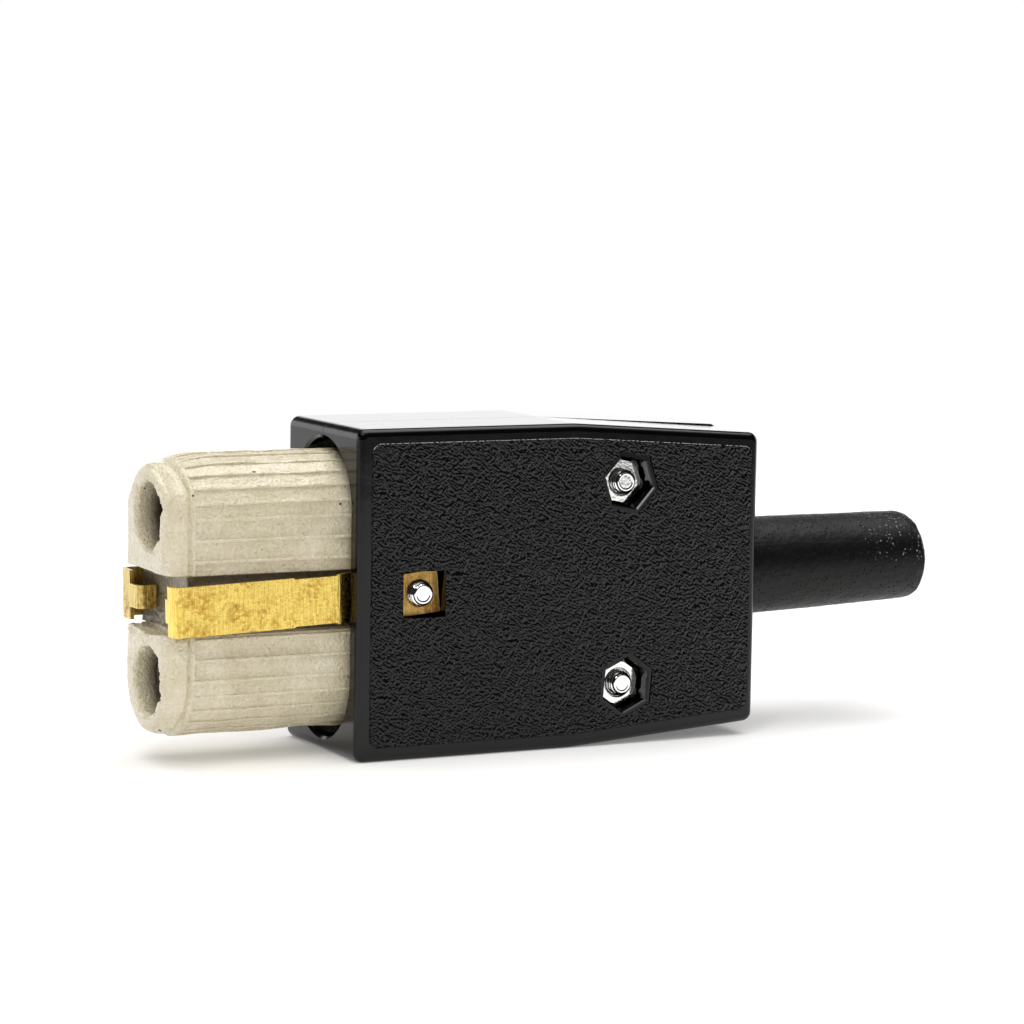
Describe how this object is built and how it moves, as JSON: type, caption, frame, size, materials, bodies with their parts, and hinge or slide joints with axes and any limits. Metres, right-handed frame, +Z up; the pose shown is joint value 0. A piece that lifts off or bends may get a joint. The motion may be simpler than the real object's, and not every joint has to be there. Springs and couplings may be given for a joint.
{
  "type": "hot-appliance connector",
  "caption": "Cord connector for a hot appliance: ribbed ceramic nose with pin sockets, side earth springs, moulded housing and rubber sleeve.",
  "frame": {"origin": "under the middle of its length, on the surface that its narrow edge stands on", "axes": "+X from the ceramic nose to the rubber sleeve, -Y towards the nuts, +Z up across its width"},
  "size_m": [0.1066, 0.0214, 0.0398],
  "materials": {
    "phenolic": "black phenolic moulding, grained on the wide faces and glossy on the narrow sides",
    "ceramic": "cream steatite, half-glazed, with dark specks",
    "brass": "bright rolled brass, lightly tarnished",
    "zinc_steel": "zinc-plated steel",
    "spring_steel": "blued spring steel",
    "fibre": "red-brown vulcanised fibre",
    "rubber": "matt black rubber, pitted and dusty"
  },
  "bodies": {
    "root": {"near_shell": "phenolic", "far_shell": "phenolic", "ceramic_nose": "ceramic", "earth_spring_near": "brass", "earth_spring_far": "brass", "contact_sleeve_upper": "brass", "contact_sleeve_lower": "brass", "square_nut": "brass", "earth_nut": "brass", "housing_nuts": "zinc_steel", "housing_screws": "zinc_steel", "centre_screw": "zinc_steel", "terminal_screws": "zinc_steel", "terminal_washers": "zinc_steel", "clamp_screws": "zinc_steel", "contact_spring_upper": "spring_steel", "contact_spring_lower": "spring_steel", "cord_clamp_bar": "fibre", "rubber_sleeve": "rubber"}
  },
  "joints": []
}
